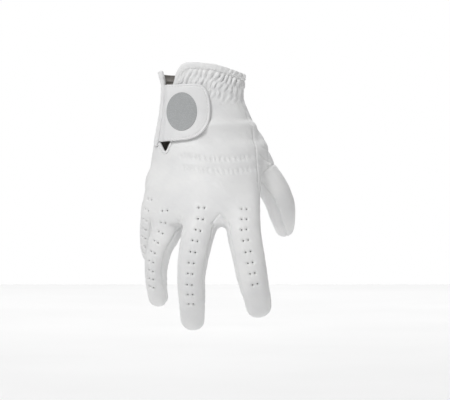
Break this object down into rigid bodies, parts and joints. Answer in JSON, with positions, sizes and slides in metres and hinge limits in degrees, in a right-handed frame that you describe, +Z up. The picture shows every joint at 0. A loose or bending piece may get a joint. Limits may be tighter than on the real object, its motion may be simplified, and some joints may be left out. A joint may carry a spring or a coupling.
{
  "type": "bowling glove",
  "caption": "White leather bowling glove for the right hand, shown worn with curled fingers, wrap-over wrist tab, wrist gathers and pierced finger backs.",
  "frame": {"origin": "centre of the wrist opening", "axes": "+Z up out of the wrist opening, fingers hang towards -Z, back of the hand faces -Y, thumb towards +X"},
  "size_m": [0.1231, 0.0976, 0.2083],
  "materials": {
    "leather": "smooth white leather with fine grain",
    "binding": "thin white leather, folded",
    "tab": "smooth white leather over a stiff core",
    "patch": "grey, fine stipple, matt",
    "pad": "white hook-and-loop fabric"
  },
  "bodies": {
    "root": {"back_panel": "leather", "palm_panel": "leather", "side_strip": "leather", "fourchette_index_middle": "leather", "fourchette_middle_ring": "leather", "fourchette_ring_little": "leather", "thumb_outer": "leather", "thumb_inner": "leather", "cuff_binding": "binding", "slit_roll": "binding", "closure_pad": "pad", "closure_tab": "tab", "tab_patch": "patch"}
  },
  "joints": []
}
